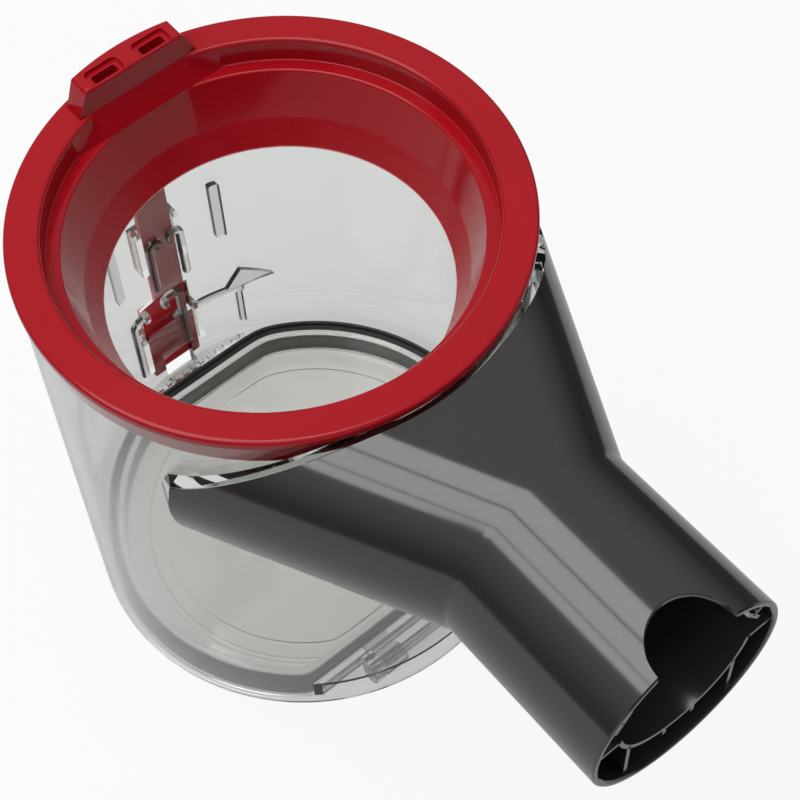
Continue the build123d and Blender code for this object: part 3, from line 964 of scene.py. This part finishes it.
def nozzle_skin(inset, end_inset):
    """One side of the nozzle's wall, from the boss to the mouth. A quadratic curve eases the
    funnel into the tube at the waist."""
    root = at_seam(inset, boss_gap)
    waist = around(waist_radius - inset, waist_y)
    mouth = around(mouth_radius - inset, mouth_y)
    inward = (root - waist) / np.linalg.norm(root - waist, axis=1, keepdims=True)
    outward = (mouth - waist) / np.linalg.norm(mouth - waist, axis=1, keepdims=True)
    before = waist + inward * waist_blend
    after = waist + outward * waist_blend
    loops = [root + share * (before - root) for share in np.linspace(0, 1, 12)]
    for share in np.linspace(0, 1, 7)[1:]:
        loops.append((1 - share)**2 * before + 2 * share * (1 - share) * waist + share**2 * after)
    end = mouth_end(mouth_radius - inset) + end_inset
    share = ((end - after[:, 1]) / (mouth[:, 1] - after[:, 1]))[:, None]
    last = after + share * (mouth - after)
    loops += [after + part * (last - after) for part in np.linspace(0, 1, 8)[1:]]
    return loops


mouth_edge = 0.35
outer_radius = mouth_radius - mouth_edge
inner_radius = mouth_radius - nozzle_wall + mouth_edge
mouth_loops = [around(radius, mouth_end(radius)) for radius in (outer_radius, inner_radius)]
outer_skin = nozzle_skin(0, mouth_edge)
inner_skin = nozzle_skin(nozzle_wall, mouth_edge)
nozzle = ring("grey_inlet_nozzle", np.stack(outer_skin + mouth_loops + inner_skin[::-1]))

duct_radius = 16.2
duct_wall = 1.0
duct_middle = duct_radius + duct_wall / 2
duct_outer = duct_radius + duct_wall
duct_rise = waist_radius - nozzle_wall - duct_outer + 0.5
duct_recess = 0.8
duct_start = mouth_y + 13.0
rib_wall = 0.9
web_rise = 2.2
ribs_y = (mouth_y + duct_recess, waist_y)


def along_tube(name, outline, y):
    """An outline square to the tube, in X and height above its axis, drawn along the tube."""
    outline = np.asarray(outline) + (0, inlet_z)
    return stack(name, [np.insert(outline, 1, place, 1) for place in y])


def bar(name, start, end, y, width=rib_wall):
    """A thin straight rib from one point of the tube's section to another."""
    start, end = np.array(start, float), np.array(end, float)
    direction = (end - start) / np.linalg.norm(end - start)
    side = np.array((-direction[1], direction[0])) * width / 2
    return along_tube(name, [start - side, end - side, end + side, start + side], y)


half_angle = math.asin((duct_rise - web_rise) / duct_middle)
trough = np.linspace(math.pi + half_angle, 2 * math.pi - half_angle, 64)
wall_section = []
for radius, sweep in ((duct_radius + apart, trough), (duct_outer - apart, trough[::-1])):
    wall_section.append(np.stack([radius * np.cos(sweep), radius * np.sin(sweep) + duct_rise], -1))
ribs = [along_tube("duct_trough", np.concatenate(wall_section), ribs_y)]
full = np.linspace(0, 2 * math.pi, 128, endpoint=False)
duct_z = duct_rise + inlet_z
duct_section = [
    (duct_radius, duct_start), (duct_outer, duct_start), (duct_outer, waist_y), (duct_radius, waist_y),
]
ribs.append(ring("duct_round", np.stack([
    np.stack([radius * np.cos(full), y + 0 * full, radius * np.sin(full) + duct_z], -1)
    for radius, y in duct_section
])))
wall_reach = waist_radius - nozzle_wall / 2
tee_angle = math.radians(33)
tee_half = 3.2
tee_y = (ribs_y[0], ribs_y[0] + 12.0)
upright_x = 13.6
upright_top = duct_rise - math.sqrt(duct_middle**2 - upright_x**2)
upright_bottom = -math.sqrt(wall_reach**2 - upright_x**2)
stub_x = 3.7
stub_top = duct_rise - duct_middle
stub_bottom = stub_top - 2.1
web_start = math.sqrt((duct_radius + 0.3)**2 - (duct_rise - web_rise)**2)
web_z = web_rise - rib_wall / 2
bar_radius = duct_rise * math.sin(tee_angle) + duct_radius + rib_wall / 2
for side in (-1, 1):
    straight_ribs = (
        ("web", (web_start, web_z), (wall_reach, web_z)),
        ("upright", (upright_x, upright_top), (upright_x, upright_bottom)),
        ("stub", (stub_x, stub_top), (stub_x, stub_bottom)),
    )
    for label, (start_x, start_z), (end_x, end_z) in straight_ribs:
        ribs.append(bar(label, (side * start_x, start_z), (side * end_x, end_z), ribs_y))
    lean = np.array((side * math.cos(tee_angle), math.sin(tee_angle)))
    cross = np.array((-lean[1], lean[0])) * tee_half
    head = lean * bar_radius
    ribs.append(bar("tee_stem", head, lean * wall_reach, tee_y))
    ribs.append(bar("tee_bar", head - cross, head + cross, tee_y))
join(nozzle, ribs)

grey = new_finish("dark_metallic_paint")
flake_mm = 0.25
flake_place = {"Vector": grey.place(), "Scale": 1 / (flake_mm * MM)}
flakes = grey.node("ShaderNodeTexVoronoi", {}, flake_place, output="Color")
sparkle = grey.node("ShaderNodeSeparateColor", {}, {"Color": flakes})
flow = grey.noise(30, 2, (1, 0.3, 1))
greys = (0.024, 0.0215, 0.0195, 1), (0.040, 0.036, 0.033, 1)
wear(nozzle, grey.show(grey.node("ShaderNodeBsdfPrincipled", {}, {
    "Base Color": grey.mix(sparkle * 0.5 + flow * 0.5, *greys),
    "Metallic": sparkle * 0.25 + 0.1,
    "Roughness": grey.noise(2.5, 3) * 0.05 + 0.1,
    "IOR": 1.66,
    "Normal": grey.bump(grey.noise(40, 1), 0.05, 0.25),
})))
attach(nozzle, "bin")
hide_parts("inlet_nozzle")


# The stage. A pale floor that shows white to the camera and through the clear plastic, and
# keeps a soft shadow of the bin. Gloss shows it as a pale sheet that ends some way to each side.
floor_half, floor_level = 3.0, -0.0002
sheet_left, sheet_right = -0.55, 0.3
shown_shadow, shaded_shadow = 0.12, 0.42
floor_signs = np.array([(-1, -1, 0), (1, -1, 0), (1, 1, 0), (-1, 1, 0)])
floor_mesh = bpy.data.meshes.new("pale_floor")
floor_mesh.from_pydata(floor_half * floor_signs + (0, 0, floor_level), [], [(0, 1, 2, 3)])
floor = bpy.data.objects.new("pale_floor", floor_mesh)
bpy.context.scene.collection.objects.link(floor)
paper = new_finish("pale_floor_paint")
seen = paper.node("ShaderNodeLightPath", output="Is Camera Ray")
through_plastic = paper.node("ShaderNodeLightPath", output="Is Transmission Ray")
plain = paper.node("ShaderNodeBsdfDiffuse", {}, {"Color": (0.62, 0.62, 0.61, 1)})
white = paper.node("ShaderNodeEmission", {}, {"Color": (1, 1, 1, 1), "Strength": 1.0})
shown = paper.node("ShaderNodeMixShader", {}, {0: shown_shadow, 1: white, 2: plain})
shaded = paper.node("ShaderNodeMixShader", {}, {0: shaded_shadow, 1: white, 2: plain})
across = paper.node("ShaderNodeSeparateXYZ", {}, {"Vector": paper.place()}, output="X")
before_right = across.math("LESS_THAN", across, sheet_right)
on_sheet = before_right * across.math("GREATER_THAN", across, sheet_left)
table = paper.node("ShaderNodeBsdfDiffuse", {}, {"Color": (0.05, 0.05, 0.05, 1)})
around_bin = paper.node("ShaderNodeMixShader", {}, {0: on_sheet, 1: table, 2: plain})
lit = paper.node("ShaderNodeMixShader", {}, {0: seen, 1: around_bin, 2: shown})
lit = paper.node("ShaderNodeMixShader", {}, {0: through_plastic, 1: lit, 2: shaded})
below = paper.node("ShaderNodeNewGeometry", output="Backfacing")
clear_below = paper.node("ShaderNodeBsdfTransparent")
one_sided = paper.node("ShaderNodeMixShader", {}, {0: below, 1: lit, 2: clear_below})
wear(floor, paper.show(one_sided))

# The light. Three soft strips overhead and to the left, with narrow gaps between them, and a
# dim room that is darker towards the floor. The room is white to the camera and through plastic.
lamp_radiance = 3.9
lamp_level = 1.2
lamp_y = (-0.28, 0.55)
strips = (
    ("far_strip", (-1.21, -0.845)),
    ("middle_strip", (-0.805, -0.32)),
    ("near_strip", (-0.275, 0.2)),
)
for name, lamp_x in strips:
    lamp = bpy.data.lights.new(name, "AREA")
    lamp.shape = "RECTANGLE"
    lamp.size = lamp_x[1] - lamp_x[0]
    lamp.size_y = lamp_y[1] - lamp_y[0]
    lamp.energy = lamp_radiance * math.pi * lamp.size * lamp.size_y
    lamp.color = (0.97, 0.98, 1)
    strip = bpy.data.objects.new(name, lamp)
    strip.location = (sum(lamp_x) / 2, sum(lamp_y) / 2, lamp_level)
    bpy.context.scene.collection.objects.link(strip)

world = bpy.data.worlds.new("room")
bpy.context.scene.world = world
room = Finish(world)
room_seen = room.node("ShaderNodeLightPath", output="Is Camera Ray")
room_through = room.node("ShaderNodeLightPath", output="Is Transmission Ray")
heading = room.node("ShaderNodeTexCoord", output="Generated")
rise = room.node("ShaderNodeSeparateXYZ", {}, {"Vector": heading}, output="Z")
rise_range = {"Value": rise, "From Min": 0.0, "From Max": 0.6, "To Min": 0.05, "To Max": 0.6}
strength = room.node("ShaderNodeMapRange", {}, rise_range)
room_white = room.node("ShaderNodeBackground", {}, {"Color": (1, 1, 1, 1), "Strength": 1.0})
room_dim = room.node("ShaderNodeBackground", {}, {"Color": (0.95, 0.97, 1, 1), "Strength": strength})
direct = room_seen.math("MAXIMUM", room_seen, room_through)
backdrop = room.node("ShaderNodeMixShader", {}, {0: direct, 1: room_dim, 2: room_white})
room.show(backdrop, "ShaderNodeOutputWorld")

# The camera stands in front of the inlet, to its left, and looks steeply down.
eye = Vector((-0.13008, -0.21013, 0.43987))
aim = Vector((0.01487, -0.02007, 0.0600))
roll = -0.052
backward = (eye - aim).normalized()
sideways = Vector((0, 0, 1)).cross(backward).normalized()
upward = backward.cross(sideways)
right = math.cos(roll) * sideways + math.sin(roll) * upward
up = math.cos(roll) * upward - math.sin(roll) * sideways
lens = bpy.data.cameras.new("camera")
lens.lens = 89.63
lens.sensor_width = 36.0
lens.clip_start = 0.01
camera = bpy.data.objects.new("camera", lens)
facing = Matrix((right, up, backward)).transposed().to_4x4()
camera.matrix_world = Matrix.Translation(eye) @ facing
bpy.context.scene.collection.objects.link(camera)
bpy.context.scene.camera = camera
bpy.context.scene.view_settings.view_transform = "Standard"
